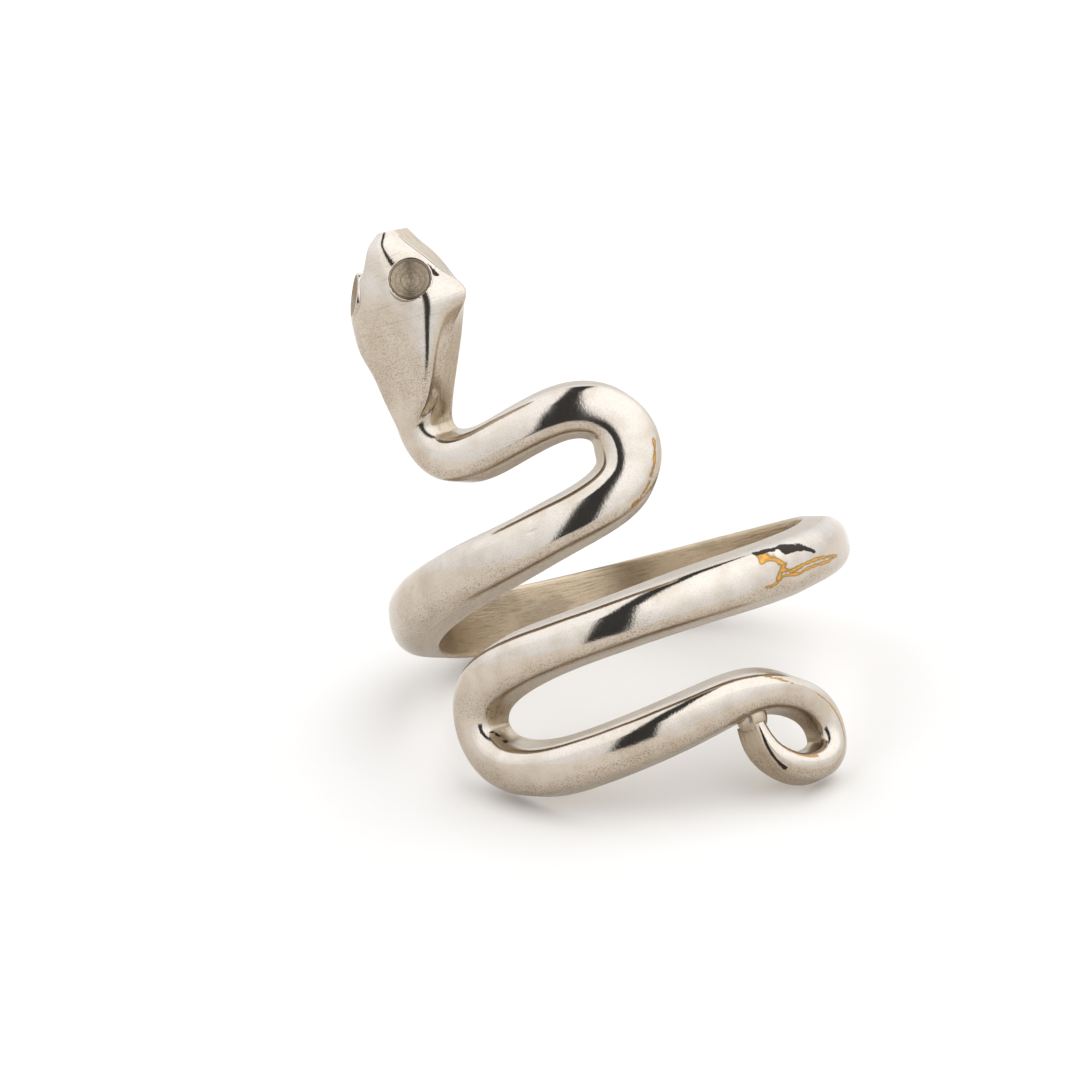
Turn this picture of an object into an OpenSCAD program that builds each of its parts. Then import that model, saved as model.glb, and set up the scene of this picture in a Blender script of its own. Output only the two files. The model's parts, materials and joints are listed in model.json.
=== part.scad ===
/* [Finger] */
// Diameter of the finger that the ring fits
finger_d = 17.4; // [15:0.1:21]

/* [Body] */
// Height of the shoulder line where the side wall meets the dome, as a share of the body's height
shoulder_share = 0.85; // [0.75:0.01:0.9]
// Width between the shoulder lines, as a share of the body's width
dome_share = 0.74; // [0.6:0.01:0.9]
// Angle at which the dome's arc starts at the shoulder line
dome_start = 60; // [45:1:75]
// Size of the rounded corner between the side wall and the dome
corner_size = 0.5; // [0.1:0.05:0.5]

/* [Head] */
// Diameter of an eye socket
socket_d = 1.75; // [1.5:0.05:1.9]
// Depth of the bowl of an eye socket at its middle
socket_depth = 0.3; // [0.2:0.05:0.5]
// Width of the raised rim round a socket
rim_w = 0.1; // [0.05:0.05:0.2]
// Height of the eyes along the finger
eye_along = 15.1; // [14.8:0.1:15.4]
// Distance of each eye from the middle of the head
eye_side = 1.6; // [1.3:0.1:1.9]
// Height of the rim's middle over the finger
eye_rise = 2.25; // [2.1:0.05:2.5]
// Angle that each eye looks to its side, away from straight out
eye_tilt = 40; // [30:1:50]
// Angle that each eye looks forward, to the snout
eye_lift = 20; // [5:1:30]

/* [Tail] */
// Diameter of the bead of metal that joins the tip of the tail to the arm above it
bead_d = 1.1; // [0.9:0.05:1.3]

/* [Rest] */
// Angle that the finger axis leans to the left when the ring lies on a table
lean_side = 10.6; // [0:0.1:30]
// Angle that the finger axis leans back when the ring lies on a table
lean_back = 24.5; // [0:0.1:40]

/* [Hidden] */
finger_r = finger_d / 2;
// Radius of the bowl of an eye socket
bowl_r = (socket_d * socket_d / 4 + socket_depth * socket_depth) / (2 * socket_depth);
// Depth by which the swept body reaches inside the finger before the hole is cut
inner_stock = 0.3;
// Cross-sections swept for each row of the route
steps_per_row = 6;
// Steps from shoulder to shoulder over the top of a section
arc_steps = 12;

// Head, from the snout to the neck. Columns: degrees round the finger, millimetres along it,
// half width at the base, half width and height of the jaw line, half width and height of the flat top
HEAD = [
    [-41, 17.5, 0.35, 0.30, 0.9, 0.15, 1.8],
    [-41, 17.3, 0.60, 0.50, 1.0, 0.30, 2.0],
    [-40.8, 16.6, 1.10, 1.00, 1.1, 0.55, 2.3],
    [-40.2, 15.7, 1.85, 1.75, 1.1, 0.75, 2.6],
    [-40.2, 14.9, 2.30, 2.50, 1.1, 1.40, 2.7],
    [-40.2, 14.2, 2.60, 3.50, 1.1, 2.10, 2.7],
    [-40.6, 13.4, 2.40, 2.60, 1.2, 2.00, 2.6],
    [-41.3, 12.3, 2.05, 1.95, 1.3, 1.85, 2.5],
    [-42.6, 11.1, 1.55, 1.45, 1.3, 1.50, 2.3],
    [-45.2, 9.8, 1.30, 1.20, 1.2, 1.05, 2.1],
];
// Body, from the neck to the tail. Columns: degrees round the finger, millimetres along it,
// width at the finger, height over the finger
BODY = [
    [-47, 8.5, 2.35, 1.9],
    [-42.2, 7.1, 2.5, 1.8],
    [-32, 6.9, 2.5, 1.9],
    [-22, 7.3, 2.5, 1.9],
    [-13, 7.68, 2.5, 1.9],
    [-3, 7.95, 2.55, 1.9],
    [6.8, 7.5, 2.75, 1.9],
    [11.6, 6.0, 3.4, 1.9],
    [8.6, 4.2, 3.0, 1.9],
    [-3, 3.4, 2.7, 1.9],
    [-14, 3.0, 2.75, 1.9],
    [-27, 2.45, 2.8, 1.9],
    [-42, 2.0, 3.0, 1.9],
    [-62, 1.45, 3.25, 1.85],
    [-88, 0.5, 3.2, 1.95],
    [-118, -0.4, 3.1, 1.95],
    [-148, -0.65, 2.9, 1.9],
    [-180, -0.65, 2.8, 1.9],
    [-210, -0.6, 2.8, 1.9],
    [-240, -0.55, 2.8, 1.9],
    [-268, -0.5, 2.8, 1.8],
    [-293, -0.95, 2.9, 1.9],
    [-318, -1.2, 2.9, 1.9],
    [-342, -1.35, 2.75, 1.9],
    [-364, -1.7, 2.6, 1.9],
    [-382, -2.0, 2.55, 1.9],
    [-399.4, -2.4, 2.85, 1.9],
    [-412, -3.3, 2.8, 1.75],
    [-416, -5.1, 2.65, 1.75],
    [-409.4, -6.75, 2.65, 1.75],
    [-394, -7.4, 2.65, 1.85],
    [-378, -7.2, 2.6, 1.8],
    [-360, -6.8, 2.6, 1.8],
    [-344, -6.3, 2.5, 1.8],
    [-331, -5.95, 2.25, 1.7],
    [-319, -6.5, 2.05, 1.6],
    [-308.7, -7.75, 1.9, 1.45],
    [-308.9, -9.85, 1.8, 1.45],
    [-322.8, -10.1, 1.5, 1.6],
    [-331.4, -9.15, 1.4, 1.5],
    [-333.9, -8.3, 1.45, 1.35],
    [-334.4, -7.3, 1.2, 1.15],
];

// Names of the columns of a full section row
AROUND = 0;
ALONG = 1;
BASE = 2;
SHOULDER = 3;
SHOULDER_RISE = 4;
FLAT = 5;
CROWN = 6;
FACET = 7;

function body_row(r) = [r[0], r[1], r[2] / 2, r[2] / 2 * dome_share, r[3] * shoulder_share,
                        r[2] / 4, r[3], 0];
ROWS = concat([for (r = HEAD) concat(r, 1)], [for (r = BODY) body_row(r)]);
LAST = len(ROWS) - 1;

// Row i, with the end rows repeated past both ends
function row(i) = ROWS[min(max(i, 0), LAST)];

// Smooth curve through the rows, and its slope, at t from row i to the next
function smooth_row(i, t) = (
    pow(1 - t, 3) * row(i - 1) + (3 * pow(t, 3) - 6 * t * t + 4) * row(i)
    + (-3 * pow(t, 3) + 3 * t * t + 3 * t + 1) * row(i + 1) + pow(t, 3) * row(i + 2)) / 6;
function smooth_slope(i, t) = (
    -pow(1 - t, 2) * row(i - 1) + (3 * t * t - 4 * t) * row(i)
    + (-3 * t * t + 2 * t + 1) * row(i + 1) + t * t * row(i + 2)) / 2;

function blend(a, b, share) = a + (b - a) * share;
// Lateral place and height of a point of half a dome, at an angle of its arc
function arc_point(s, a) = [
    s[SHOULDER] * cos(a) / cos(dome_start),
    s[SHOULDER_RISE] + (s[CROWN] - s[SHOULDER_RISE]) * (sin(a) - sin(dome_start)) / (1 - sin(dome_start))];
// Share of a half section's steps that lie on the dome, before its rounded corner
on_dome = 2 / 3;
// Half a dome from its crown, at u = 0, round its corner to the side wall, at u = 1.
// On the narrow tail the corner shrinks with the section
function half_dome(s, u) = let (
    shoulder = [s[SHOULDER], s[SHOULDER_RISE]],
    size = min(corner_size, s[SHOULDER] * 0.7),
    last = 90 - (90 - dome_start) * (1 - size / s[SHOULDER]),
    down = [s[BASE], 0] - shoulder,
    end = shoulder + down / norm(down) * size,
    c = (u - on_dome) / (1 - on_dome)) u <= on_dome ? arc_point(s, blend(90, last, u / on_dome))
        : pow(1 - c, 2) * arc_point(s, last) + 2 * c * (1 - c) * shoulder + c * c * end;
// Lateral place and height of the points of a section, from its left foot to its right foot
function dome_point(s, t) = let (p = half_dome(s, abs(2 * t - 1))) [sign(t - 0.5) * p.x, p.y];
function facet_point(s, t) = let (u = abs(2 * t - 1), side = sign(t - 0.5), corner = 0.5) [
    side * (u < corner ? blend(0, s[FLAT], u / corner)
                       : blend(s[FLAT], s[SHOULDER], (u - corner) / (1 - corner))),
    u < corner ? s[CROWN] : blend(s[CROWN], s[SHOULDER_RISE], (u - corner) / (1 - corner))];
function foot(s) = s[BASE] + (s[BASE] - s[SHOULDER]) * inner_stock / s[SHOULDER_RISE];
function section(s) = concat(
    [[-foot(s), -inner_stock]],
    [for (k = [0 : arc_steps]) blend(dome_point(s, k / arc_steps), facet_point(s, k / arc_steps), s[FACET])],
    [[foot(s), -inner_stock]]);

// Radius at which lengths round the finger are measured
route_r = finger_r + 1;
function arc_mm(deg) = deg * PI / 180 * route_r;
function arc_deg(mm) = mm / route_r * 180 / PI;
// A section point, laid square to the route and wrapped round the finger
function wrapped(s, d, p) = let (
    run = [arc_mm(d[AROUND]), d[ALONG]],
    side = [run.y, -run.x] / norm(run),
    a = s[AROUND] + arc_deg(-side.x * p.x),
    r = finger_r + p.y) [r * sin(a), -r * cos(a), s[ALONG] - side.y * p.x];
function ring_at(i, t) = let (s = smooth_row(i, t), d = smooth_slope(i, t)) [
    for (p = section(s)) wrapped(s, d, p)];
// The same section's two edges on the finger
function edges_at(i, t) = let (s = smooth_row(i, t), d = smooth_slope(i, t)) [
    for (side = [-1, 1]) wrapped(s, d, [side * s[BASE], 0])];

STOPS = concat([for (i = [0 : LAST - 1], k = [0 : steps_per_row - 1]) [i, k / steps_per_row]],
               [[LAST - 1, 1]]);
RINGS = [for (at = STOPS) ring_at(at[0], at[1])];
SIDES = len(RINGS[0]);
POINTS = [for (r = RINGS) each r];
FACES = concat(
    [[for (k = [SIDES - 1 : -1 : 0]) k]],
    [for (i = [0 : len(RINGS) - 2], k = [0 : SIDES - 1]) let (n = (k + 1) % SIDES)
        each [[i * SIDES + k, (i + 1) * SIDES + n, (i + 1) * SIDES + k],
              [i * SIDES + k, i * SIDES + n, (i + 1) * SIDES + n]]],
    [[for (k = [0 : SIDES - 1]) (len(RINGS) - 1) * SIDES + k]]);

// A point after the ring is leant over, and the move that sets it on the table
function leant(p) = let (
    x = p.x * cos(lean_side) - p.z * sin(lean_side),
    z = p.x * sin(lean_side) + p.z * cos(lean_side)) [
    x, p.y * cos(lean_back) + z * sin(lean_back), -p.y * sin(lean_back) + z * cos(lean_back)];
OUTSIDE = [for (at = STOPS) each edges_at(at[0], at[1]), for (r = RINGS, k = [1 : SIDES - 2]) r[k]];
LEANT = [for (p = OUTSIDE) leant(p)];
function low(c) = min([for (p = LEANT) p[c]]);
function high(c) = max([for (p = LEANT) p[c]]);
to_table = [-(low(0) + high(0)) / 2, -(low(1) + high(1)) / 2, -low(2)];

module at_rest() {
    translate(to_table) rotate([-lean_back, 0, 0]) rotate([0, -lean_side, 0]) children();
}

// Places its children on the finger, with Z pointing out of it and Y along it
module on_finger(around, along) {
    translate([0, 0, along]) rotate([0, 0, around]) translate([0, -finger_r, 0])
        rotate([90, 0, 0]) children();
}

module at_eyes() {
    on_finger(HEAD[3][AROUND], eye_along) for (side = [-1, 1])
        translate([side * eye_side, 0, eye_rise]) rotate([-eye_lift, side * eye_tilt, 0]) children();
}

module snake_ring() {
    color("#cdc0b2") at_rest() difference() {
        union() {
            polyhedron(POINTS, FACES, convexity = 6);
            at_eyes() translate([0, 0, -1]) cylinder(h = 1, d = socket_d + 2 * rim_w, $fn = 40);
            on_finger(ROWS[LAST][AROUND], ROWS[LAST][ALONG]) translate([0, 0, bead_d / 2 + 0.3])
                rotate([0, 0, 60]) sphere(d = bead_d, $fn = 32);
        }
        at_eyes() translate([0, 0, bowl_r - socket_depth]) sphere(r = bowl_r, $fn = 60);
        cylinder(h = 60, r = finger_r, center = true, $fn = 180);
    }
}

snake_ring();
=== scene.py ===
"""Looks of the snake ring: a silver casting that winds round the finger, lying on a pale table."""

import json
import logging
import math
from bisect import bisect_left
from collections.abc import Callable
from dataclasses import dataclass, field, replace
from enum import Enum
from functools import partial

import bmesh
import bpy
from mathutils import Matrix, Vector, noise

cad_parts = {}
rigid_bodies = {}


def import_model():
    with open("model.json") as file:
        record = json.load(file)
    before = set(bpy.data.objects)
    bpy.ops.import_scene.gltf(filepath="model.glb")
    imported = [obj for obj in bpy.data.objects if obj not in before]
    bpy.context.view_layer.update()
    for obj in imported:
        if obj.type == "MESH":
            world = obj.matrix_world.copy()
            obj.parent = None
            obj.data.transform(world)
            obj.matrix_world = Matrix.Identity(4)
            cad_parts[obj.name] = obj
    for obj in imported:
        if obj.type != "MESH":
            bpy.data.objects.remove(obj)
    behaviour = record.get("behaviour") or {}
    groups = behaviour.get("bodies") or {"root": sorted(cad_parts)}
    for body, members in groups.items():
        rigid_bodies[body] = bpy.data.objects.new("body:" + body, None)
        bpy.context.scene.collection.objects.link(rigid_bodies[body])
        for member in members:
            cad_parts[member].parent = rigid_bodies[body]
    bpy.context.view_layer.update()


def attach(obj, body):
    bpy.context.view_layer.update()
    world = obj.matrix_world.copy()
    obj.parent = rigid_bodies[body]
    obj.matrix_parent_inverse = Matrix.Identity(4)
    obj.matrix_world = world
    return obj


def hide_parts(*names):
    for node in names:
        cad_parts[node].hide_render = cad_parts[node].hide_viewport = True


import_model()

MM = 0.001
LOG = logging.getLogger("snake_ring")
Sockets = dict[str, bpy.types.NodeSocket]


def linear(code: str) -> tuple[float, float, float, float]:
    """Turns an sRGB hex colour into the linear colour that a shader takes.

    Args:
        code: the colour as "#rrggbb".

    Returns:
        Linear red, green, blue and an alpha of 1.
    """
    parts = [int(code[i:i + 2], 16) / 255 for i in (1, 3, 5)]
    return (*(c / 12.92 if c <= 0.04045 else ((c + 0.055) / 1.055) ** 2.4 for c in parts), 1.0)


def add_node(tree: bpy.types.NodeTree, kind: str, settings: dict | None = None,
             inputs: dict | None = None) -> bpy.types.Node:
    """Adds a node with its settings, its values and what feeds it.

    Args:
        tree: the node tree to add it to.
        kind: the node's type name.
        settings: attributes of the node.
        inputs: values or sockets by input name or index.

    Returns:
        The new node.
    """
    node = tree.nodes.new(kind)
    for name, value in (settings or {}).items():
        setattr(node, name, value)
    for key, value in (inputs or {}).items():
        if isinstance(value, bpy.types.NodeSocket):
            tree.links.new(value, node.inputs[key])
        else:
            node.inputs[key].default_value = value
    return node


def new_material(name: str) -> tuple[bpy.types.Material, Callable]:
    """Returns a new material with an empty node tree, and the function that adds a node to it."""
    mat = bpy.data.materials.new(name)
    mat.use_nodes = True
    mat.node_tree.nodes.clear()
    return mat, partial(add_node, mat.node_tree)


def reckon(node: Callable, operation: str, *values: float | bpy.types.NodeSocket) -> bpy.types.NodeSocket:
    """Adds a node that calculates with numbers or sockets, and returns its result."""
    return node("ShaderNodeMath", {"operation": operation}, dict(enumerate(values))).outputs[0]


def fade(node: Callable, value: bpy.types.NodeSocket, none: float, full: float,
         low: float = 0.0, high: float = 1.0) -> bpy.types.NodeSocket:
    """Adds a node that turns a value into a mask with soft ends.

    Args:
        node: what adds a node to the tree.
        value: the value that the mask follows.
        none: the value at which the mask is low.
        full: the value at which it is high.
        low: what the mask is at none.
        high: what it is at full.

    Returns:
        The mask.
    """
    return node("ShaderNodeMapRange", {"interpolation_type": "SMOOTHSTEP"}, {
        "Value": value, "From Min": none, "From Max": full, "To Min": low, "To Max": high}).outputs[0]


def blend(a: float, b: float, share: float) -> float:
    """Returns the value that lies a share of the way from a to b."""
    return a + (b - a) * share


@dataclass(frozen=True)
class Section:
    """One cross-section of the snake, in millimetres, measured across the body and out of the finger."""

    around: float
    along: float
    base: float
    shoulder: float
    shoulder_rise: float
    flat: float
    crown: float
    facet: float


@dataclass
class Route:
    """The snake's way round the finger, as the rows of its head and body."""

    finger_r: float = 8.7
    shoulder_share: float = 0.85
    dome_share: float = 0.74
    # degrees round the finger, mm along it, half width at the base, half width and height of
    # the jaw line, half width and height of the flat top
    head: tuple = (
        (-41, 17.5, 0.35, 0.30, 0.9, 0.15, 1.8),
        (-41, 17.3, 0.60, 0.50, 1.0, 0.30, 2.0),
        (-40.8, 16.6, 1.10, 1.00, 1.1, 0.55, 2.3),
        (-40.2, 15.7, 1.85, 1.75, 1.1, 0.75, 2.6),
        (-40.2, 14.9, 2.30, 2.50, 1.1, 1.40, 2.7),
        (-40.2, 14.2, 2.60, 3.50, 1.1, 2.10, 2.7),
        (-40.6, 13.4, 2.40, 2.60, 1.2, 2.00, 2.6),
        (-41.3, 12.3, 2.05, 1.95, 1.3, 1.85, 2.5),
        (-42.6, 11.1, 1.55, 1.45, 1.3, 1.50, 2.3),
        (-45.2, 9.8, 1.30, 1.20, 1.2, 1.05, 2.1),
    )
    # degrees round the finger, mm along it, width at the finger, height over the finger
    body: tuple = (
        (-47, 8.5, 2.35, 1.9), (-42.2, 7.1, 2.5, 1.8), (-32, 6.9, 2.5, 1.9),
        (-22, 7.3, 2.5, 1.9), (-13, 7.68, 2.5, 1.9), (-3, 7.95, 2.55, 1.9),
        (6.8, 7.5, 2.75, 1.9), (11.6, 6.0, 3.4, 1.9), (8.6, 4.2, 3.0, 1.9),
        (-3, 3.4, 2.7, 1.9), (-14, 3.0, 2.75, 1.9), (-27, 2.45, 2.8, 1.9),
        (-42, 2.0, 3.0, 1.9), (-62, 1.45, 3.25, 1.85), (-88, 0.5, 3.2, 1.95),
        (-118, -0.4, 3.1, 1.95), (-148, -0.65, 2.9, 1.9), (-180, -0.65, 2.8, 1.9),
        (-210, -0.6, 2.8, 1.9), (-240, -0.55, 2.8, 1.9), (-268, -0.5, 2.8, 1.8),
        (-293, -0.95, 2.9, 1.9), (-318, -1.2, 2.9, 1.9), (-342, -1.35, 2.75, 1.9),
        (-364, -1.7, 2.6, 1.9), (-382, -2.0, 2.55, 1.9), (-399.4, -2.4, 2.85, 1.9),
        (-412, -3.3, 2.8, 1.75), (-416, -5.1, 2.65, 1.75), (-409.4, -6.75, 2.65, 1.75),
        (-394, -7.4, 2.65, 1.85), (-378, -7.2, 2.6, 1.8), (-360, -6.8, 2.6, 1.8),
        (-344, -6.3, 2.5, 1.8), (-331, -5.95, 2.25, 1.7), (-319, -6.5, 2.05, 1.6),
        (-308.7, -7.75, 1.9, 1.45), (-308.9, -9.85, 1.8, 1.45), (-322.8, -10.1, 1.5, 1.6),
        (-331.4, -9.15, 1.4, 1.5), (-333.9, -8.3, 1.45, 1.35), (-334.4, -7.3, 1.2, 1.15),
    )
    rows: list = field(default_factory=list)
    runs: list = field(default_factory=list)

    def __post_init__(self) -> None:
        """Turns both tables into full section rows."""
        self.rows = [(*r, 1.0) for r in self.head]
        self.rows += [(r[0], r[1], r[2] / 2, r[2] / 2 * self.dome_share,
                       r[3] * self.shoulder_share, r[2] / 4, r[3], 0.0) for r in self.body]
        self.measure()

    @property
    def spans(self) -> int:
        """Returns the number of stretches between rows."""
        return len(self.rows) - 1

    def _mix(self, i: int, weights: tuple[float, float, float, float]) -> list[float]:
        """Adds up the four rows around stretch i by their weights."""
        near = [self.rows[min(max(i + k, 0), self.spans)] for k in (-1, 0, 1, 2)]
        return [sum(w * row[c] for w, row in zip(weights, near)) for c in range(8)]

    def at(self, place: float) -> tuple[Section, Vector]:
        """Gives the section and the way ahead at a place along the snake.

        Args:
            place: rows from the snout, with a fraction for what lies between two rows.

        Returns:
            The section, and its heading across the unrolled finger in mm.
        """
        i = min(int(place), self.spans - 1)
        t = place - i
        row = self._mix(i, ((1 - t) ** 3 / 6, (3 * t ** 3 - 6 * t * t + 4) / 6,
                            (-3 * t ** 3 + 3 * t * t + 3 * t + 1) / 6, t ** 3 / 6))
        slope = self._mix(i, (-(1 - t) ** 2 / 2, (3 * t * t - 4 * t) / 2,
                              (-3 * t * t + 2 * t + 1) / 2, t * t / 2))
        return Section(*row), Vector((self.arc_mm(slope[0]), slope[1]))

    def measure(self, parts: int = 40) -> None:
        """Measures the way along the snake at each small part of a row."""
        self.runs = [0.0]
        for k in range(self.spans * parts):
            self.runs.append(self.runs[-1] + self.at((k + 0.5) / parts)[1].length / parts)

    @property
    def length(self) -> float:
        """Returns the snake's length from snout to tail."""
        return self.runs[-1]

    def place_at(self, run: float) -> float:
        """Returns the place, in rows from the snout, that lies a length along the snake."""
        k = min(max(bisect_left(self.runs, run), 1), len(self.runs) - 1)
        share = (run - self.runs[k - 1]) / (self.runs[k] - self.runs[k - 1])
        return (k - 1 + share) * self.spans / (len(self.runs) - 1)

    def arc_mm(self, degrees: float) -> float:
        """Returns the length round the finger that an angle spans at the band's middle height."""
        return math.radians(degrees) * (self.finger_r + 1)

    def arc_deg(self, length: float) -> float:
        """Returns the angle that a length round the finger spans at the band's middle height."""
        return math.degrees(length / (self.finger_r + 1))

    def wrapped(self, around: float, along: float, height: float) -> Vector:
        """Wraps a point round the finger.

        Args:
            around: degrees round the finger from its front.
            along: millimetres along the finger.
            height: millimetres out of the finger.

        Returns:
            The point in the ring's own frame, in millimetres.
        """
        r, a = self.finger_r + height, math.radians(around)
        return Vector((r * math.sin(a), -r * math.cos(a), along))

    def laid_at(self, around: float, along: float) -> Matrix:
        """Returns the move that lays a flat drawing on the finger at a place, facing outwards."""
        return (Matrix.Translation((0, 0, along)) @ Matrix.Rotation(math.radians(around), 4, "Z")
                @ Matrix.Translation((0, -self.finger_r, 0)) @ Matrix.Rotation(math.radians(90), 4, "X"))


@dataclass
class Rest:
    """How the ring leans when it lies on the table by itself."""

    lean_side: float = 10.6
    lean_back: float = 24.5
    middle: tuple[float, float, float] = (0.466, 1.489, 6.04)

    def matrix(self) -> Matrix:
        """Returns the move from the ring's own frame to the table's, both in millimetres."""
        lean = (Matrix.Rotation(math.radians(-self.lean_back), 4, "X")
                @ Matrix.Rotation(math.radians(-self.lean_side), 4, "Y"))
        return Matrix.Translation(self.middle) @ lean


class Seam(Enum):
    """Places round a half section where one zone of the skin meets the next, on the across coordinate."""

    MIDDLE = 0.0
    RIM_IN = 0.9
    RIM_OUT = 1.1
    CORNER_LOW = 1.8
    CORNER_HIGH = 2.2
    CROWN = 3.0


@dataclass
class Profile:
    """How a cross-section is drawn: its inside, side walls, rounded corners and top, in mm."""

    inside_steps: int = 6
    rim_steps: int = 4
    wall_steps: int = 6
    corner_steps: int = 6
    side_steps: int = 7
    ridge_steps: int = 9
    top_steps: int = 6
    rim_size: float = 0.2
    dome_corner: float = 0.5
    jaw_corner: float = 0.08
    ridge_corner: float = 0.8
    dome_start: float = 60.0
    front_start: float = 68.0
    front_rise: float = 0.3
    front_none: float = 0.5
    front_full: float = 0.9
    tilt_below: float = 2.0
    tilt_per_mm: float = 1.25
    tilt_most: float = 11.0

    @property
    def half_steps(self) -> int:
        """Returns the number of steps from the middle of the inside to the crown."""
        return (self.inside_steps + self.rim_steps + self.wall_steps + self.corner_steps
                + self.over_steps)

    @property
    def over_steps(self) -> int:
        """Returns the number of steps from the corner to the crown."""
        return self.side_steps + self.ridge_steps + self.top_steps

    @staticmethod
    def straight(a: Vector, b: Vector, steps: int) -> list[Vector]:
        """Returns the points from a to b without the last."""
        return [a.lerp(b, k / steps) for k in range(steps)]

    @staticmethod
    def bend(a: Vector, tip: Vector, b: Vector, steps: int) -> list[Vector]:
        """Returns the points of a rounded corner from a round tip to b, without the last."""
        shares = [k / steps for k in range(steps)]
        return [a * (1 - t) ** 2 + tip * 2 * t * (1 - t) + b * t * t for t in shares]

    def front(self, s: Section) -> float:
        """Returns 1 where the ring faces the viewer, down to 0 at its sides and back."""
        facing = math.cos(math.radians(s.around))
        return min(max((facing - self.front_none) / (self.front_full - self.front_none), 0.0), 1.0)

    def corner(self, s: Section) -> float:
        """Returns the size of the dome's rounded corner, which shrinks on the narrow tail."""
        return min(self.dome_corner, 0.7 * s.shoulder)

    def dome(self, s: Section, rise: float, start: float, end: Vector) -> list[Vector]:
        """Draws a domed half top from the side wall to the crown.

        Args:
            s: the section.
            rise: height of the shoulder line.
            start: angle at which the dome's arc meets the shoulder line, in degrees.
            end: where the side wall ends.

        Returns:
            The points of the corner and of the dome.
        """
        first = math.radians(start)

        def arc(a: float) -> Vector:
            """Returns the dome's point at an angle of its arc."""
            up = (math.sin(a) - math.sin(first)) / (1 - math.sin(first))
            return Vector((s.shoulder * math.cos(a) / math.cos(first), blend(rise, s.crown, up)))

        last = blend(first, math.pi / 2, self.corner(s) / s.shoulder)
        over = self.over_steps
        return (self.bend(end, Vector((s.shoulder, rise)), arc(last), self.corner_steps)
                + [arc(blend(last, math.pi / 2, k / over)) for k in range(over + 1)])

    def facets(self, s: Section, end: Vector) -> list[Vector]:
        """Draws a faceted half top from the side wall over the ridge to the flat.

        Args:
            s: the section.
            end: where the side wall ends.

        Returns:
            The points of the jaw corner, the side facet, the ridge and the flat.
        """
        jaw, ridge = Vector((s.shoulder, s.shoulder_rise)), Vector((s.flat, s.crown))
        middle = Vector((0.0, s.crown))
        slope = (ridge - jaw).normalized()
        room = (ridge - jaw).length
        on_side = jaw + slope * min(self.jaw_corner, 0.3 * room)
        below = ridge - slope * min(self.ridge_corner, 0.5 * room)
        beyond = ridge.lerp(middle, min(self.ridge_corner / max(s.flat, 0.01), 0.45))
        return (self.bend(end, jaw, on_side, self.corner_steps)
                + self.straight(on_side, below, self.side_steps)
                + self.bend(below, ridge, beyond, self.ridge_steps)
                + self.straight(beyond, middle, self.top_steps) + [middle])

    def half(self, s: Section) -> list[Vector]:
        """Draws half a section from the middle of the inside to the crown.

        The dome is flatter where the ring faces the viewer.

        Args:
            s: the section.

        Returns:
            Points across the body and out of the finger.
        """
        front = self.front(s)
        rise = blend(s.shoulder_rise, s.crown, self.front_rise * front * (1 - s.facet))
        rim, shoulder = Vector((s.base, 0.0)), Vector((s.shoulder, rise))
        wall = (shoulder - rim).normalized()
        inner = rim - Vector((self.rim_size, 0.0)) * min(1.0, s.base)
        outer = rim + wall * self.rim_size * min(1.0, s.base)
        end = shoulder - wall * blend(self.corner(s), self.jaw_corner, s.facet)
        start = blend(self.dome_start, self.front_start, front)
        tops = [d.lerp(f, s.facet) for d, f in zip(self.dome(s, rise, start, end),
                                                   self.facets(s, end))]
        return (self.straight(Vector((0.0, 0.0)), inner, self.inside_steps)
                + self.bend(inner, rim, outer, self.rim_steps)
                + self.straight(outer, end, self.wall_steps) + tops)

    def seams(self) -> list[float]:
        """Returns the across coordinate of each point of half a section."""
        legs = ((Seam.MIDDLE, Seam.RIM_IN, self.inside_steps), (Seam.RIM_IN, Seam.RIM_OUT, self.rim_steps),
                (Seam.RIM_OUT, Seam.CORNER_LOW, self.wall_steps),
                (Seam.CORNER_LOW, Seam.CORNER_HIGH, self.corner_steps),
                (Seam.CORNER_HIGH, Seam.CROWN, self.over_steps))
        marks = [blend(a.value, b.value, k / n) for a, b, n in legs for k in range(n)]
        return marks + [Seam.CROWN.value]

    def lean(self, s: Section) -> float:
        """Returns how much the top leans down towards the foot of the ring, as a slope."""
        turn = min(max((self.tilt_below - s.along) * self.tilt_per_mm, 0.0), self.tilt_most)
        return math.tan(math.radians(turn)) * max(math.cos(math.radians(s.around)), 0.0) * (1 - s.facet)


@dataclass(frozen=True)
class Swell:
    """A soft change of a width or a height along the snake, in millimetres."""

    middle: float
    reach: float
    size: float

    def at(self, run: float) -> float:
        """Returns the change at a run along the snake, which fades out past the reach."""
        return self.size * math.exp(-((run - self.middle) / self.reach) ** 2)


@dataclass(frozen=True)
class Dent:
    """A flaw of the casting that is sunk into the skin or stands out of it."""

    run: float
    across: float
    along_size: float
    across_size: float
    depth: float
    turn: float = 0.0

    def push(self, run: float, across: float) -> float:
        """Gives how far the flaw moves the skin outwards at a place.

        Args:
            run: millimetres along the snake from the snout.
            across: the across coordinate, which counts about a millimetre to the unit.

        Returns:
            Millimetres, negative for a dent.
        """
        a, b = run - self.run, across - self.across
        c, d = math.cos(math.radians(self.turn)), math.sin(math.radians(self.turn))
        far = ((a * c + b * d) / self.along_size) ** 2 + ((b * c - a * d) / self.across_size) ** 2
        return -self.depth * (1 - far) ** 2 if far < 1 else 0.0


class PaintedLight(Enum):
    """Which painted reflection a streak on the skin shows, as the number of its coordinate in the map of
    marks.
    """

    GOLD_REFLECTION = 0
    DARK_REFLECTION = 1


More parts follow.
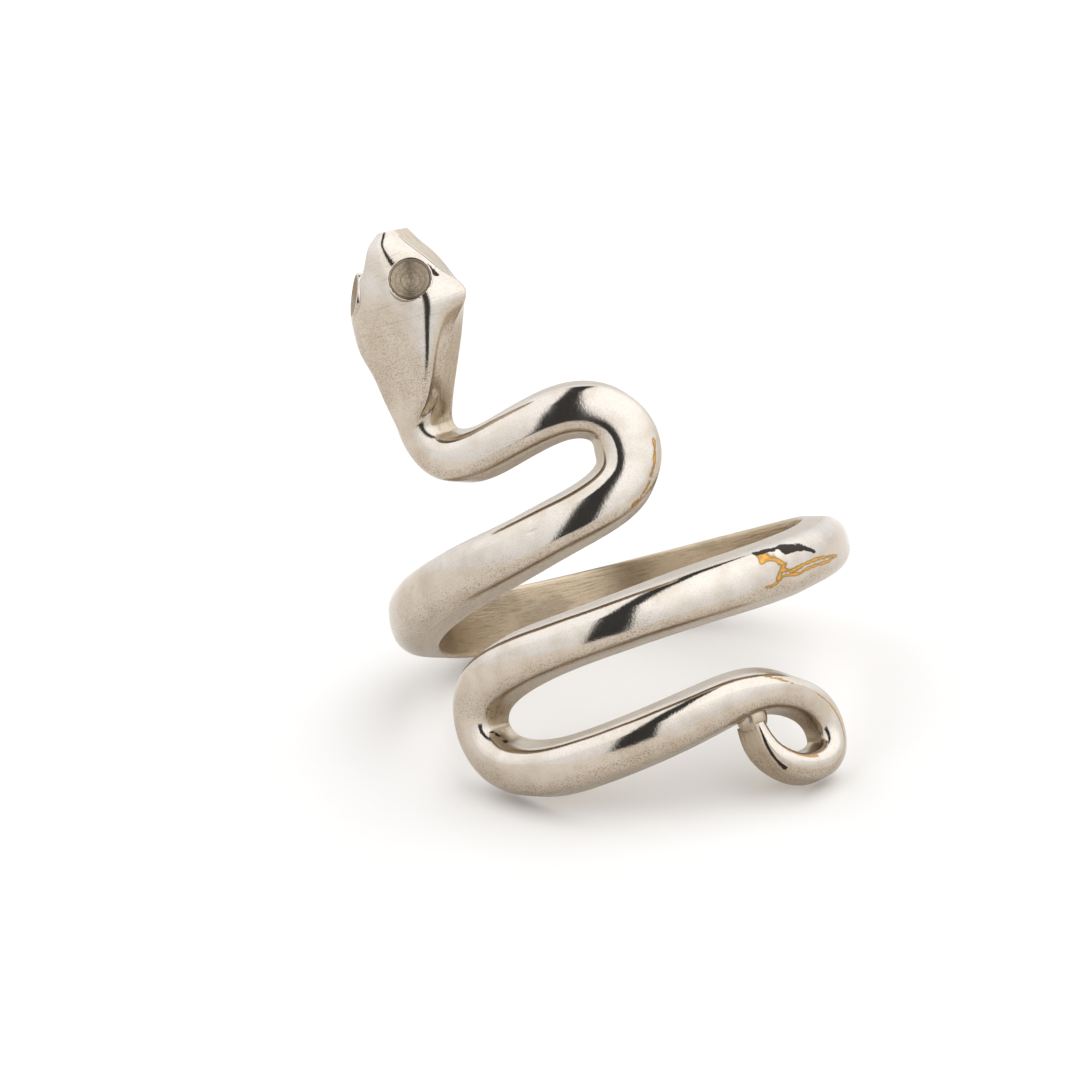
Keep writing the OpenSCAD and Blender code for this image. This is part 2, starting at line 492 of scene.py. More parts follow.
@dataclass(frozen=True)
class Streak:
    """A painted reflection that follows a line over the skin."""

    painted_streak: PaintedLight
    width: float
    points: tuple[tuple[float, float], ...]

    def reaches(self, run: float) -> bool:
        """Returns whether the streak comes near a cross-section."""
        return (min(p[0] for p in self.points) - self.width < run
                < max(p[0] for p in self.points) + self.width)

    def strength(self, run: float, across: float) -> float:
        """Gives how strong the painted reflection is at a place of the skin.

        Args:
            run: millimetres along the snake from the snout.
            across: the across coordinate.

        Returns:
            1 on the line, down to 0 at the streak's edge.
        """
        spot, best = Vector((run, across)), self.width
        for a, b in zip(self.points, self.points[1:]):
            start, leg = Vector(a), Vector(b) - Vector(a)
            share = min(max((spot - start).dot(leg) / leg.length_squared, 0.0), 1.0)
            best = min(best, (spot - start - leg * share).length)
        return 1 - best / self.width


@dataclass
class SnakeBody:
    """The swept body of the snake: head, band and tail in one skin."""

    route: Route
    rest: Rest
    profile: Profile = field(default_factory=Profile)
    station: float = 0.13
    wobble: float = 0.012
    wobble_size: float = 1.4
    snout: Swell = Swell(0.0, 0.35, -0.35)
    cheek: tuple[Swell, ...] = (Swell(2.1, 0.8, 0.3), Swell(3.4, 0.45, -0.12),
                                Swell(5.2, 1.35, 0.42), Swell(7.4, 1.4, 0.16))
    cheek_on_flat: float = 0.8
    ridge: Swell = Swell(9.3, 2.4, 0.25)
    jaw: Swell = Swell(7.3, 2.6, 0.15)
    curl: Swell = Swell(112.3, 2.0, -0.4)
    tip_start: float = 118.6
    tip_left: float = 0.3
    tip_filed: float = 0.8
    dents: tuple[Dent, ...] = ()
    streaks: tuple[Streak, ...] = ()

    def outline(self, s: Section, run: float) -> list[Vector]:
        """Draws a section's whole outline, from the middle of the inside round to it again.

        The head was filed by hand: its snout is rounded, its left cheek is fuller and rounder than
        the right one, and its right ridge stays far out down to the neck. The outer side of the
        tail is filed to a slope on the curl and at its tip.

        Args:
            s: the section.
            run: millimetres along the snake from the snout.

        Returns:
            Points across the body and out of the finger.
        """
        s = replace(s, crown=s.crown + s.facet * self.snout.at(run))
        cheek = sum(swell.at(run) for swell in self.cheek)
        left = replace(s, shoulder=s.shoulder + cheek, flat=s.flat + self.cheek_on_flat * cheek)
        tip_length = self.route.length - self.tip_start - self.tip_left
        tip = min(max((run - self.tip_start) / tip_length, 0.0), 1.0)
        filed = 1 - self.tip_filed * tip * tip * (3 - 2 * tip) + self.curl.at(run)
        right = replace(s, flat=s.flat + s.facet * self.ridge.at(run),
                        shoulder=s.shoulder * filed + s.facet * self.jaw.at(run))
        return ([Vector((-p.x, p.y)) for p in self.profile.half(left)]
                + self.profile.half(right)[-2::-1])

    def build(self) -> bmesh.types.BMesh:
        """Sweeps the outline along the route by bending a flat grid into the snake's skin.

        Returns:
            A closed mesh in the table's frame, in millimetres, with the skin's coordinates as its
            first UV map and the strength of its painted reflections as the second.
        """
        stations = round(self.route.length / self.station)
        marks = self.profile.seams()
        marks = marks + [2 * Seam.CROWN.value - m for m in marks[-2::-1]]
        sides = 2 * self.profile.half_steps
        bm = bmesh.new()
        bmesh.ops.create_grid(bm, x_segments=stations, y_segments=sides, size=1)
        skin = bm.loops.layers.uv.new("UVMap")
        marked = bm.loops.layers.uv.new("Marks")
        skin_place = {v: (round((v.co.x + 1) / 2 * stations), round((v.co.y + 1) / 2 * sides))
                      for v in bm.verts}
        step_run = self.route.length / stations
        for face in bm.faces:
            for loop in face.loops:
                step, side = skin_place[loop.vert]
                loop[skin].uv = (step * step_run, marks[side])
                loop[marked].uv = self.streaks_at(step * step_run, marks[side])
        lines = {step: self.ring_at(step * step_run, marks) for step in range(stations + 1)}
        for v, (step, side) in skin_place.items():
            v.co = lines[step][side]
        bmesh.ops.remove_doubles(bm, verts=bm.verts, dist=1e-4)
        rims = [e for e in bm.edges if e.is_boundary]
        ends = bmesh.ops.holes_fill(bm, edges=rims, sides=0)["faces"]
        for face in ends:
            for loop in face.loops:
                loop[skin].uv = (0.0, Seam.CROWN.value)
        bmesh.ops.recalc_face_normals(bm, faces=bm.faces)
        return bm

    def streaks_at(self, run: float, across: float) -> tuple[float, float]:
        """Returns how strong the painted golden and dark reflections are at a place of the skin."""
        found = [0.0, 0.0]
        for streak in self.streaks:
            if streak.reaches(run):
                kind = streak.painted_streak.value
                found[kind] = max(found[kind], streak.strength(run, across))
        return found[0], found[1]

    def ring_at(self, run: float, marks: list[float]) -> list[Vector]:
        """Places one cross-section on the table.

        Args:
            run: millimetres along the snake from the snout.
            marks: the across coordinate of each point.

        Returns:
            The section's points in the table's frame, in millimetres.
        """
        to_table = self.rest.matrix()
        s, heading = self.route.at(self.route.place_at(run))
        heading.normalize()
        line = self.outline(s, run)
        lean = self.profile.lean(s)
        near = [d for d in self.dents if abs(d.run - run) < d.along_size + d.across_size]
        ring = []
        for k, (p, mark) in enumerate(zip(line, marks)):
            tangent = line[min(k + 1, len(line) - 1)] - line[max(k - 1, 0)]
            out = Vector((-tangent.y, tangent.x)).normalized()
            top = min(max((mark - 1) * (5 - mark), 0.0), 1.0)
            push = sum(d.push(run, mark) for d in near)
            if top > 0:
                spot = self.route.wrapped(s.around, s.along, 0) / self.wobble_size
                push += top * self.wobble * noise.noise(spot + Vector((p.x, p.y, run)) / self.wobble_size)
            q = p + out * push
            ahead = heading.x * q.x
            height = q.y * (1 + lean * ahead / max(s.crown, 0.1))
            ring.append(to_table @ self.route.wrapped(
                s.around - self.route.arc_deg(heading.y * q.x), s.along + ahead, height))
        return ring


class Cut(Enum):
    """How a tool shape changes the body."""

    ADD = "UNION"
    TAKE = "DIFFERENCE"


@dataclass(frozen=True)
class Eye:
    """The place of one eye: its side of the head, and its middle beside and over the head's base."""

    side: int
    apart: float
    rise: float


@dataclass
class EyeSockets:
    """The two empty eye sockets: a low collar round a shallow round bowl on each side of the head."""

    route: Route
    rest: Rest
    eyes: tuple[Eye, ...] = (Eye(-1, 1.95, 2.0), Eye(1, 1.6, 2.25))
    across: float = 1.75
    depth: float = 0.3
    rim: float = 0.14
    rim_edge: float = 0.035
    proud: float = 0.05
    thickness: float = 1.0
    around: float = -40.2
    along: float = 15.1
    tilt: float = 40.0
    lift: float = 20.0
    skin_place: tuple[float, float] = (2.4, 3.5)

    def places(self) -> list[Matrix]:
        """Returns the move that puts each eye, drawn flat at the origin, on the head."""
        return [self.rest.matrix() @ self.route.laid_at(self.around, self.along)
                @ Matrix.Translation((eye.side * eye.apart, 0, eye.rise))
                @ Matrix.Rotation(math.radians(eye.side * self.tilt), 4, "Y")
                @ Matrix.Rotation(math.radians(-self.lift), 4, "X") for eye in self.eyes]

    def collars(self) -> bmesh.types.BMesh:
        """Returns both collars as short discs with a soft upper edge."""
        bm = bmesh.new()
        skin = bm.loops.layers.uv.new("UVMap")
        bm.loops.layers.uv.new("Marks")
        radius = self.across / 2 + self.rim
        for place in self.places():
            disc = bmesh.ops.create_cone(bm, cap_ends=True, segments=72, radius1=radius,
                                         radius2=radius, depth=self.thickness)["verts"]
            bmesh.ops.translate(bm, verts=disc, vec=(0, 0, self.proud - self.thickness / 2))
            top = [v for v in disc if v.co.z > 0]
            edge = [e for e in bm.edges if e.verts[0] in top and e.verts[1] in top]
            disc_new = bmesh.ops.bevel(bm, geom=edge, offset=self.rim_edge, segments=3, profile=0.5,
                                       affect="EDGES", material=-1)["verts"]
            moved = {v for v in disc if v.is_valid} | set(disc_new)
            for loop in (one for v in moved for one in v.link_loops):
                loop[skin].uv = self.skin_place
            bmesh.ops.transform(bm, matrix=place, verts=list(moved))
        return bm

    def bowls(self) -> bmesh.types.BMesh:
        """Returns the balls that hollow both bowls, with the distance from the middle as their map."""
        bm = bmesh.new()
        ball = (self.across ** 2 / 4 + self.depth ** 2) / (2 * self.depth)
        skin = bm.loops.layers.uv.new("UVMap")
        bm.loops.layers.uv.new("Marks")
        for place in self.places():
            made = bmesh.ops.create_uvsphere(bm, u_segments=96, v_segments=64, radius=ball)["verts"]
            for v in made:
                for loop in v.link_loops:
                    loop[skin].uv = (v.co.xy.length, math.atan2(v.co.y, v.co.x))
            bmesh.ops.translate(bm, verts=made, vec=(0, 0, ball - self.depth))
            bmesh.ops.transform(bm, matrix=place, verts=made)
        return bm


@dataclass
class TailBead:
    """The bead of metal that joins the tip of the tail to the arm above it."""

    route: Route
    rest: Rest
    size: tuple[float, float, float] = (1.4, 1.55, 1.35)
    middle: tuple[float, float, float] = (0.12, 0.1, 0.42)
    skin_across: float = 4.4

    def build(self) -> bmesh.types.BMesh:
        """Returns the bead."""
        bm = bmesh.new()
        around, along = self.route.rows[-1][:2]
        place = (self.rest.matrix() @ self.route.laid_at(around, along)
                 @ Matrix.Translation(self.middle) @ Matrix.Diagonal((*self.size, 1)))
        bmesh.ops.create_uvsphere(bm, u_segments=48, v_segments=32, radius=0.5)
        skin = bm.loops.layers.uv.new("UVMap")
        bm.loops.layers.uv.new("Marks")
        for face in bm.faces:
            for loop in face.loops:
                spot = loop.vert.co
                loop[skin].uv = (self.route.length + spot.y, self.skin_across + spot.x / 2)
        bmesh.ops.transform(bm, matrix=place, verts=bm.verts)
        return bm


@dataclass
class Casting:
    """The body while it is still a rough casting, in millimetres, to which shapes are added or cut."""

    body: bpy.types.Object
    sharp_from: float = 40.0

    @staticmethod
    def rough(name: str, bm: bmesh.types.BMesh, finish: bpy.types.Material) -> bpy.types.Object:
        """Makes a working object from a mesh, which is freed."""
        mesh = bpy.data.meshes.new(name)
        bm.to_mesh(mesh)
        bm.free()
        mesh.materials.append(finish)
        obj = bpy.data.objects.new(name, mesh)
        bpy.context.scene.collection.objects.link(obj)
        return obj

    def change(self, cut: Cut, tool: bpy.types.Object) -> None:
        """Adds a tool shape to the body or takes it away, and removes the tool.

        Args:
            cut: whether to add or to take.
            tool: the shape, whose faces bring their own material.
        """
        step = self.body.modifiers.new("cut", "BOOLEAN")
        step.operation, step.object, step.solver = cut.value, tool, "EXACT"
        step.material_mode = "TRANSFER"
        graph = bpy.context.evaluated_depsgraph_get()
        done = bpy.data.meshes.new_from_object(self.body.evaluated_get(graph),
                                               preserve_all_data_layers=True, depsgraph=graph)
        self.body.modifiers.clear()
        old, self.body.data = self.body.data, done
        bpy.data.meshes.remove(old)
        bpy.data.meshes.remove(tool.data)

    def finish(self, node: str, slot: str) -> bpy.types.Object:
        """Scales the casting to metres, smooths all but its sharp corners and ties it to the part.

        Args:
            node: the part's node that it stands for.
            slot: not used.

        Returns:
            The finished object.
        """
        mesh = self.body.data
        mesh.transform(Matrix.Scale(MM, 4))
        mesh.shade_smooth()
        mesh.set_sharp_from_angle(angle=math.radians(self.sharp_from))
        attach(self.body, "root")
        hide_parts(node)
        return self.body


@dataclass(frozen=True)
class WornSilver:
    """Sterling silver, lost-wax cast, filed, polished by hand and aged by long use.

    The polish leaves a warm grey mirror with a fine grain, the side walls keep their file marks,
    the inside keeps lengthwise lines, golden and dark reflections are painted on in streaks, and the
    sides that face down carry painted shade. Each method takes what adds a node to the material,
    and what has been made of the skin so far, by name.
    """

    name: str = "worn_sterling_silver"
    face: str = "#c9bdaf"
    warm: str = "#b0a08a"
    inside: str = "#bca88c"
    # colours of the painted golden reflection and its bright middle, then of the painted dark reflection
    # lines and the pits
    gold_reflection: str = "#84643a"
    gold_core_tint: str = "#cf9a48"
    dark_mark: str = "#3c342c"
    dirt: str = "#6f6252"
    polished: float = 0.075
    polished_head: float = 0.1
    down_facing: float = 0.2
    filed: float = 0.3
    gold_reflected: float = 0.4
    dark_marked: float = 0.6
    scratch_turn: float = 62.0

    def make(self) -> bpy.types.Material:
        """Returns the material."""
        mat, node = new_material(self.name)
        skin = self.zones(node)
        skin |= self.streak_masks(node, skin)
        skin |= self.patterns(node, skin)
        skin |= self.flaws(node, skin)
        shader = node("ShaderNodeBsdfPrincipled", None, {
            "Base Color": self.colour(node, skin), "Metallic": 1.0,
            "Roughness": self.roughness(node, skin), "Normal": self.relief(node, skin)})
        node("ShaderNodeOutputMaterial", None, {"Surface": shader.outputs["BSDF"]})
        return mat

    @staticmethod
    def zones(node: Callable) -> Sockets:
        """Returns the place on the skin, and a mask of each of its zones."""
        flat = node("ShaderNodeUVMap", {"uv_map": "UVMap"}).outputs[0]
        run, across, _ = node("ShaderNodeSeparateXYZ", None, {0: flat}).outputs
        space = node("ShaderNodeTexCoord").outputs
        off = reckon(node, "ABSOLUTE", reckon(node, "SUBTRACT", across, Seam.CROWN.value))
        # sides that face down get painted shade and a rougher finish, in patches three millimetres across
        patchy = node("ShaderNodeTexNoise", None, {"Vector": space["Object"], "Scale": 350.0,
                                                   "Detail": 3.0}).outputs["Fac"]
        facing = node("ShaderNodeSeparateXYZ", None, {0: space["Normal"]}).outputs["Z"]
        down_facing = fade(node, reckon(node, "MULTIPLY_ADD", patchy, -0.9, facing), none=-0.2, full=-0.65)
        wall = fade(node, off, none=0.95, full=1.35)
        inner = fade(node, off, none=1.9, full=2.1)
        return {"flat": flat, "spot": space["Object"], "patchy": patchy, "wall": wall, "inner": inner,
                "either": reckon(node, "MAXIMUM", wall, inner), "down_facing": down_facing,
                "head": fade(node, run, none=13.0, full=10.5)}

    @staticmethod
    def streak_masks(node: Callable, skin: Sockets) -> Sockets:
        """Returns masks of the painted golden reflection, its bright golden middle and the painted dark
        reflection lines, broken up by a blotchy noise.
        """
        gold_reflection, dark_mark, _ = node("ShaderNodeSeparateXYZ", None, {
            0: node("ShaderNodeUVMap", {"uv_map": "Marks"}).outputs[0]}).outputs
        blotch = node("ShaderNodeTexNoise", None, {"Vector": skin["spot"], "Scale": 2400.0, "Detail": 4.0,
                                                   "Roughness": 0.65}).outputs["Fac"]
        uneven = reckon(node, "MULTIPLY_ADD", blotch, 1.1, -0.55)
        masks = {}
        for name, painted_streak, none, full in (("gold_reflected", gold_reflection, 0.45, 0.75), ("gold_core", gold_reflection, 0.62, 1.0),
                                        ("dark_marked", dark_mark, 0.4, 0.6)):
            mask = fade(node, reckon(node, "ADD", painted_streak, uneven), none, full)
            there = reckon(node, "GREATER_THAN", painted_streak, 0.001)
            masks[name] = reckon(node, "MULTIPLY", mask, there)
        return masks

    def patterns(self, node: Callable, skin: Sockets) -> Sockets:
        """Returns the noises of the polish, of the tools' marks and of the casting's pores."""
        # the real polishing grain is finer than the eye sees, and is drawn at about 0.1 mm to show
        made = {name: node("ShaderNodeTexNoise", None, {
            "Vector": skin["spot"], "Scale": scale, "Detail": detail, "Roughness": roughness}).outputs["Fac"]
            for name, scale, detail, roughness in (("grain", 9000.0, 3.0, 0.7), ("swell", 900.0, 2.0, 0.5),
                                                   ("specks", 15000.0, 1.0, 0.5))}
        # file marks run along the snake, about 0.08 mm apart, and scratches cross it
        crossed = node("ShaderNodeVectorRotate", {"rotation_type": "Z_AXIS"},
                       {"Vector": skin["flat"], "Angle": math.radians(self.scratch_turn)}).outputs[0]
        for name, way, stretch, detail, roughness in (
                ("files", skin["flat"], (0.9, 12.0, 1.0), 3.0, 0.6),
                ("scratches", crossed, (1.5, 15.0, 1.0), 4.0, 0.7)):
            drawn = node("ShaderNodeVectorMath", {"operation": "MULTIPLY"}, {0: way, 1: stretch})
            made[name] = node("ShaderNodeTexNoise", None, {
                "Vector": drawn.outputs[0], "Scale": 1.0, "Detail": detail, "Roughness": roughness}
                ).outputs["Fac"]
        # casting pits, a fifth of a millimetre and less, in one pore of seven
        pores = node("ShaderNodeTexVoronoi", {"feature": "F1"}, {"Vector": skin["spot"], "Scale": 1500.0})
        chosen = node("ShaderNodeSeparateXYZ", None, {0: pores.outputs["Color"]}).outputs["X"]
        bore = node("ShaderNodeMapRange", None, {"Value": chosen, "From Min": 0.86, "From Max": 1.0,
                                                 "To Min": 0.0, "To Max": 0.13})
        made["deep"] = reckon(node, "SUBTRACT", bore.outputs[0], pores.outputs["Distance"])
        return made

    @staticmethod
    def flaws(node: Callable, skin: Sockets) -> Sockets:
        """Returns masks of the pits, specks, dark lines and films, each kept to its zone."""
        # dust specks are six times as thick on the sides that face down, where they add to the painted shade
        matt = reckon(node, "MULTIPLY_ADD", skin["down_facing"], 0.5, 0.1)
        rubbed = reckon(node, "MAXIMUM", skin["head"], skin["wall"])
        masks = {"matt": matt}
        # the lowest parts of the tools' marks keep dark polish, and the inside has brown patches
        for name, pattern, none, full, most in (
                ("pit", "deep", 0.0, 0.05, 1.0), ("speck", "specks", 0.5, 0.66, 1.0),
                ("scored", "files", 0.48, 0.34, 0.35), ("scraped", "scratches", 0.42, 0.3, 0.4),
                ("brown", "patchy", 0.5, 0.68, 0.4)):
            masks[name] = fade(node, skin[pattern], none, full, high=most)
        # the last mask is painted shade on the sides that face down, where the dark pits also sit
        for name, mask, where in (("holed", masks["pit"], skin["down_facing"]), ("dust", masks["speck"], matt),
                                  ("scored", masks["scored"], skin["either"]),
                                  ("scraped", masks["scraped"], rubbed),
                                  ("brown", masks["brown"], skin["inner"]), ("wear", skin["down_facing"], 0.35)):
            masks[name] = reckon(node, "MULTIPLY", mask, where)
        masks["film"] = node("ShaderNodeMapRange", None, {
            "Value": skin["swell"], "From Min": 0.4, "From Max": 0.7, "To Max": 0.5}).outputs[0]
        return masks

    @staticmethod
    def relief(node: Callable, skin: Sockets) -> bpy.types.NodeSocket:
        """Returns the normal that the fine patterns give, from their heights in millimetres."""
        height = 0.0
        for pattern, amount, where in (("grain", 0.003, None), ("swell", 0.003, None),
                                       ("files", 0.014, "either"), ("scratches", 0.003, "head"),
                                       ("speck", -0.003, "matt"), ("pit", -0.02, "down_facing")):
            part = reckon(node, "MULTIPLY", skin[pattern], amount)
            if where:
                part = reckon(node, "MULTIPLY", part, skin[where])
            height = reckon(node, "ADD", part, height)
        return node("ShaderNodeBump", None, {"Height": height, "Distance": MM}).outputs[0]

    def colour(self, node: Callable, skin: Sockets) -> bpy.types.NodeSocket:
        """Returns the colour: a warmer tone in random films and on the side walls, painted shade on the
        sides that face down, the inside's tone, dirt, painted golden and dark reflections, and dark pits.
        """
        colour = linear(self.face)
        # the warm tint on the sides that face down is painted shade, and the golden and dark streaks are
        # painted reflections
        for tint, mask in ((self.warm, "film"), (self.warm, "wear"), (self.warm, "wall"),
                           (self.inside, "inner"), (self.dirt, "brown"), (self.dirt, "dust"),
                           (self.dirt, "scored"), (self.dirt, "scraped"), (self.gold_reflection, "gold_reflected"),
                           (self.gold_core_tint, "gold_core"), (self.dark_mark, "dark_marked"), (self.dark_mark, "holed")):
            colour = node("ShaderNodeMix", {"data_type": "RGBA"},
                          {0: skin[mask], 6: colour, 7: linear(tint)}).outputs[2]
        return colour

    def roughness(self, node: Callable, skin: Sockets) -> bpy.types.NodeSocket:
        """Returns the roughness, which grows from the polished metal to the painted dark reflection lines
        and the pits.
        """
        rough = self.polished
        for value, mask in ((self.down_facing, "down_facing"), (self.filed, "wall"), (self.filed, "inner"),
                            (self.polished_head, "head"), (self.gold_reflected, "gold_reflected"),
                            (self.dark_marked, "dark_marked"), (self.dark_marked, "holed")):
            rough = node("ShaderNodeMix", None, {0: skin[mask], 2: rough, 3: value}).outputs[0]
        return rough


@dataclass(frozen=True)
class BrushedSocket:
    """Silver left matt by the round cutter that bored the eye sockets, with rings about 0.08 mm apart."""

    name: str = "bored_silver"
    face: str = "#a99780"
    dust: str = "#6a5c4a"
    roughness: float = 0.34
    ring_depth: float = 0.06

    def make(self) -> bpy.types.Material:
        """Returns the material."""
        mat, node = new_material(self.name)
        skin = node("ShaderNodeUVMap", {"uv_map": "UVMap"})
        place = node("ShaderNodeSeparateXYZ", None, {0: skin.outputs[0]})
        spot = node("ShaderNodeTexCoord").outputs["Object"]
        uneven = node("ShaderNodeTexNoise", None, {"Vector": spot, "Scale": 9000.0, "Detail": 3.0}
                      ).outputs["Fac"]
        shaken = reckon(node, "MULTIPLY_ADD", uneven, 0.08, place.outputs["X"])
        turned = node("ShaderNodeCombineXYZ", None, {"X": shaken})
        rings = node("ShaderNodeTexNoise", None, {"Vector": turned.outputs[0], "Scale": 12.0,
                                                  "Detail": 2.0}).outputs["Fac"]
        bump = node("ShaderNodeBump", None, {"Height": rings, "Distance": self.ring_depth * MM})
        colour = node("ShaderNodeMix", {"data_type": "RGBA"},
                      {0: uneven, 6: linear(self.face), 7: linear(self.dust)})
        shader = node("ShaderNodeBsdfPrincipled", None, {
            "Base Color": colour.outputs[2], "Metallic": 1.0, "Roughness": self.roughness,
            "Normal": bump.outputs[0]})
        node("ShaderNodeOutputMaterial", None, {"Surface": shader.outputs["BSDF"]})
        return mat


@dataclass
class Studio:
    """A white table, soft light all round and the camera."""

    rest: Rest
    distance: float = 250.0
    image_lean: float = 14.0
    shift_right: float = 3.636
    shift_down: float = 1.818
    focal: float = 183.33
    table_half: float = 0.5
    table_front: float = 0.075
    paper: str = "#eae3da"
    daylight: tuple[float, float, float, float] = (1.0, 1.06, 1.15, 1.0)
    low_light: float = 1.15
    left_light: float = 1.6
    right_light: float = 1.84
    full_height: float = 0.7
    slit_light: float = 0.065
    slit_aside: float = -6.0
    slit_lean: float = 5.0
    slit_low: float = 0.2
    slit_high: float = 0.12

    def floor(self) -> None:
        """Lays the pale table, which ends a little before the ring, out of the picture."""
        bm = bmesh.new()
        bmesh.ops.create_grid(bm, x_segments=1, y_segments=1, size=self.table_half)
        bmesh.ops.translate(bm, verts=bm.verts, vec=(0, self.table_half - self.table_front, 0))
        mesh = bpy.data.meshes.new("table_top")
        bm.to_mesh(mesh)
        bm.free()
        mat = bpy.data.materials.new("white_paper")
        mat.use_nodes = True
        shader = mat.node_tree.nodes["Principled BSDF"]
        shader.inputs["Base Color"].default_value = linear(self.paper)
        shader.inputs["Roughness"].default_value = 0.9
        shader.inputs["Specular IOR Level"].default_value = 0.1
        mesh.materials.append(mat)
        table = bpy.data.objects.new("table_top", mesh)
        bpy.context.scene.collection.objects.link(table)

    def tent(self) -> None:
        """Puts a white light tent all round, with the dark slit that the camera looks in by.

        The slit starts at the camera, goes up over the ring and ends on the way down behind it.
        """
        world = bpy.data.worlds.new("light_tent")
        world.use_nodes = True
        tree = world.node_tree
        node = partial(add_node, tree)
        way = node("ShaderNodeTexCoord").outputs["Generated"]
        x, y, z = node("ShaderNodeSeparateXYZ", None, {0: way}).outputs
        aside, lean = math.radians(self.slit_aside), math.radians(self.slit_lean)
        normal = (math.cos(aside) * math.cos(lean), math.sin(aside) * math.cos(lean), math.sin(lean))
        past = node("ShaderNodeVectorMath", {"operation": "DOT_PRODUCT"}, {0: way, 1: normal})
        away = reckon(node, "ABSOLUTE", past.outputs["Value"])
        width = node("ShaderNodeMapRange", None, {
            "Value": y, "From Min": -1.0, "From Max": 0.0,
            "To Min": self.slit_low, "To Max": self.slit_high}).outputs[0]
        slit = fade(node, reckon(node, "SUBTRACT", width, away), none=-0.012, full=0.012)
        # the slit is open at every height in front, and over the ring
        front = fade(node, y, none=0.05, full=-0.05)
        over = fade(node, z, none=0.46, full=0.54)
        dark = reckon(node, "MULTIPLY", slit, reckon(node, "MAXIMUM", front, over))
        rise = fade(node, z, none=-0.1, full=self.full_height)
        side = fade(node, x, none=-0.4, full=0.5, low=self.left_light, high=self.right_light)
        cloth = node("ShaderNodeMix", None, {0: rise, 2: self.low_light, 3: side}).outputs[0]
        light = node("ShaderNodeMix", None, {0: dark, 2: cloth, 3: self.slit_light})
        back = tree.nodes["Background"]
        back.inputs["Color"].default_value = self.daylight
        tree.links.new(light.outputs[0], back.inputs["Strength"])
        bpy.context.scene.world = world

    def camera(self) -> None:
        """Aims the camera square to the finger, as the photograph does."""
        lean = math.radians(self.image_lean)
        right = Vector((math.cos(lean), 0, -math.sin(lean)))
        up = Vector((math.sin(lean), 0, math.cos(lean)))
        back = Vector((0, -1, 0))
        spot = back * self.distance - right * self.shift_right + up * self.shift_down
        to_table = self.rest.matrix()
        rotation = (to_table.to_3x3() @ Matrix((right, up, back)).transposed()).to_4x4()
        data = bpy.data.cameras.new("camera")
        data.lens = self.focal
        data.sensor_width = 36.0
        data.clip_start = 0.01
        cam = bpy.data.objects.new("camera", data)
        bpy.context.scene.collection.objects.link(cam)
        cam.matrix_world = Matrix.Translation(to_table @ spot * MM) @ rotation
        bpy.context.scene.camera = cam

    def build(self) -> None:
        """Sets up the table, the light and the camera."""
        self.floor()
        self.tent()
        self.camera()


# each place is millimetres along the snake, then the across coordinate
FLAWS = (
    Dent(29.37, 3.76, 0.35, 0.16, 0.05, 40), Dent(33.77, 2.54, 0.2, 0.16, 0.03),
    Dent(26.69, 2.61, 0.18, 0.15, 0.04), Dent(41.5, 4.75, 0.4, 0.25, 0.05),
    Dent(93.2, 4.45, 0.5, 0.25, 0.025), Dent(94.1, 4.65, 0.5, 0.25, 0.025),
    Dent(97.3, 4.6, 0.9, 0.35, -0.04), Dent(117.84, 3.91, 0.25, 0.2, 0.05),
)
# the streaks in the three tables below are painted reflections: golden ones of a golden thing to the ring's
# right, and dark lines
BEND_STREAKS = (
    Streak(PaintedLight.GOLD_REFLECTION, 0.36, ((78.9, 2.2), (78.6, 2.1), (78.2, 2.3), (77.8, 2.76),
                                 (78.08, 3.1), (78.28, 3.5))),
    Streak(PaintedLight.GOLD_REFLECTION, 0.2, ((78.28, 3.4), (78.4, 3.7), (79.0, 3.76))),
    Streak(PaintedLight.GOLD_REFLECTION, 0.36, ((78.0, 3.0), (77.5, 3.26), (76.9, 3.2))),
    Streak(PaintedLight.GOLD_REFLECTION, 0.24, ((76.9, 3.15), (76.2, 3.08), (75.35, 3.12), (74.6, 3.25), (73.9, 3.39))),
    Streak(PaintedLight.GOLD_REFLECTION, 0.22, ((78.0, 3.4), (77.0, 3.57), (76.5, 3.44), (75.7, 3.43), (74.8, 3.5),
                                 (74.0, 3.4))),
    Streak(PaintedLight.DARK_REFLECTION, 0.12, ((79.0, 1.95), (78.6, 1.97), (78.1, 1.99), (77.6, 2.02))),
    Streak(PaintedLight.DARK_REFLECTION, 0.24, ((77.6, 2.06), (76.85, 2.12), (76.3, 2.25), (75.9, 2.5), (75.75, 2.62))),
)
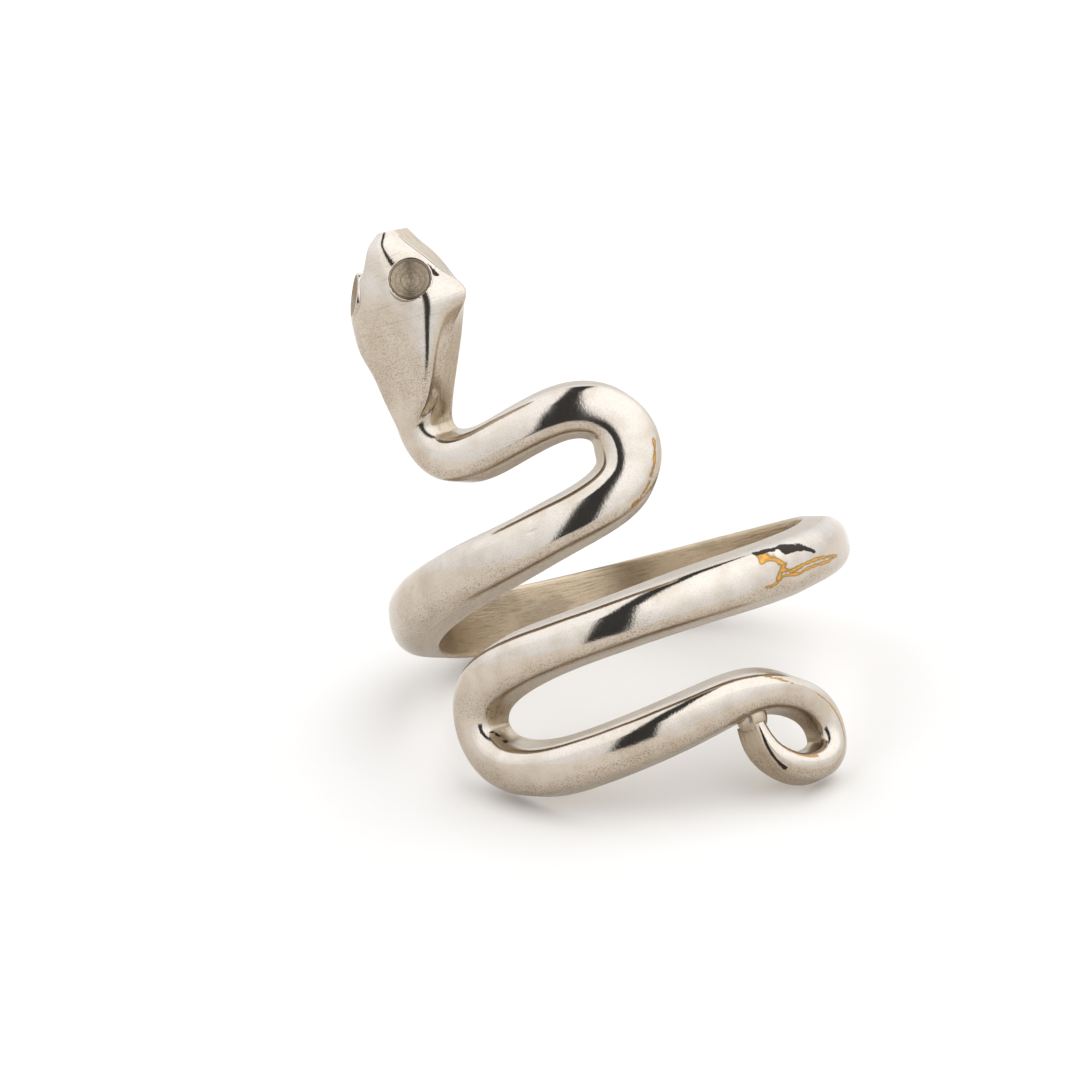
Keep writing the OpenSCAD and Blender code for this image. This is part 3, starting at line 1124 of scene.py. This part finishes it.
TAIL_STREAKS = (
    Streak(PaintedLight.GOLD_REFLECTION, 0.1, ((110.75, 4.02), (111.88, 3.83), (112.61, 3.57), (113.67, 3.22))),
    Streak(PaintedLight.GOLD_REFLECTION, 0.3, ((113.6, 3.15), (114.5, 3.08), (115.3, 3.12), (116.0, 3.25))),
    Streak(PaintedLight.GOLD_REFLECTION, 0.12, ((116.0, 3.25), (116.6, 3.4), (117.2, 3.6))),
    Streak(PaintedLight.GOLD_REFLECTION, 0.09, ((121.33, 2.05), (118.2, 2.05))),
    Streak(PaintedLight.DARK_REFLECTION, 0.15, ((121.8, 3.82), (121.2, 3.92), (120.6, 4.0), (119.8, 4.05))),
)
OTHER_STREAKS = (
    Streak(PaintedLight.GOLD_REFLECTION, 0.08, ((20.6, 3.86), (21.05, 3.85), (21.85, 3.9), (22.48, 3.97), (22.93, 3.98))),
    Streak(PaintedLight.DARK_REFLECTION, 0.14, ((95.98, 4.21), (96.9, 4.39), (97.7, 4.36))),
    Streak(PaintedLight.DARK_REFLECTION, 0.08, ((0.35, 4.0), (3.3, 4.0))),
    Streak(PaintedLight.DARK_REFLECTION, 0.055, ((1.9, 3.74), (2.2, 3.73), (2.5, 3.7))),
)


def main() -> None:
    """Builds the ring and the studio, and reports each."""
    logging.basicConfig(level=logging.INFO, format="%(name)s: %(message)s")
    route, rest = Route(), Rest()
    silver, bored = WornSilver().make(), BrushedSocket().make()
    streaks = BEND_STREAKS + TAIL_STREAKS + OTHER_STREAKS
    body = SnakeBody(route, rest, dents=FLAWS, streaks=streaks).build()
    casting = Casting(Casting.rough("snake", body, silver))
    LOG.info("body: %d faces", len(casting.body.data.polygons))
    eyes = EyeSockets(route, rest)
    casting.change(Cut.ADD, Casting.rough("collars", eyes.collars(), silver))
    casting.change(Cut.ADD, Casting.rough("bead", TailBead(route, rest).build(), silver))
    casting.change(Cut.TAKE, Casting.rough("bowls", eyes.bowls(), bored))
    ring = casting.finish("snake_ring", "silver")
    LOG.info("%s: %d faces", ring.name, len(ring.data.polygons))
    Studio(rest).build()
    bpy.context.scene.view_settings.view_transform = "Standard"
    LOG.info("studio ready")


if __name__ == "__main__":
    main()
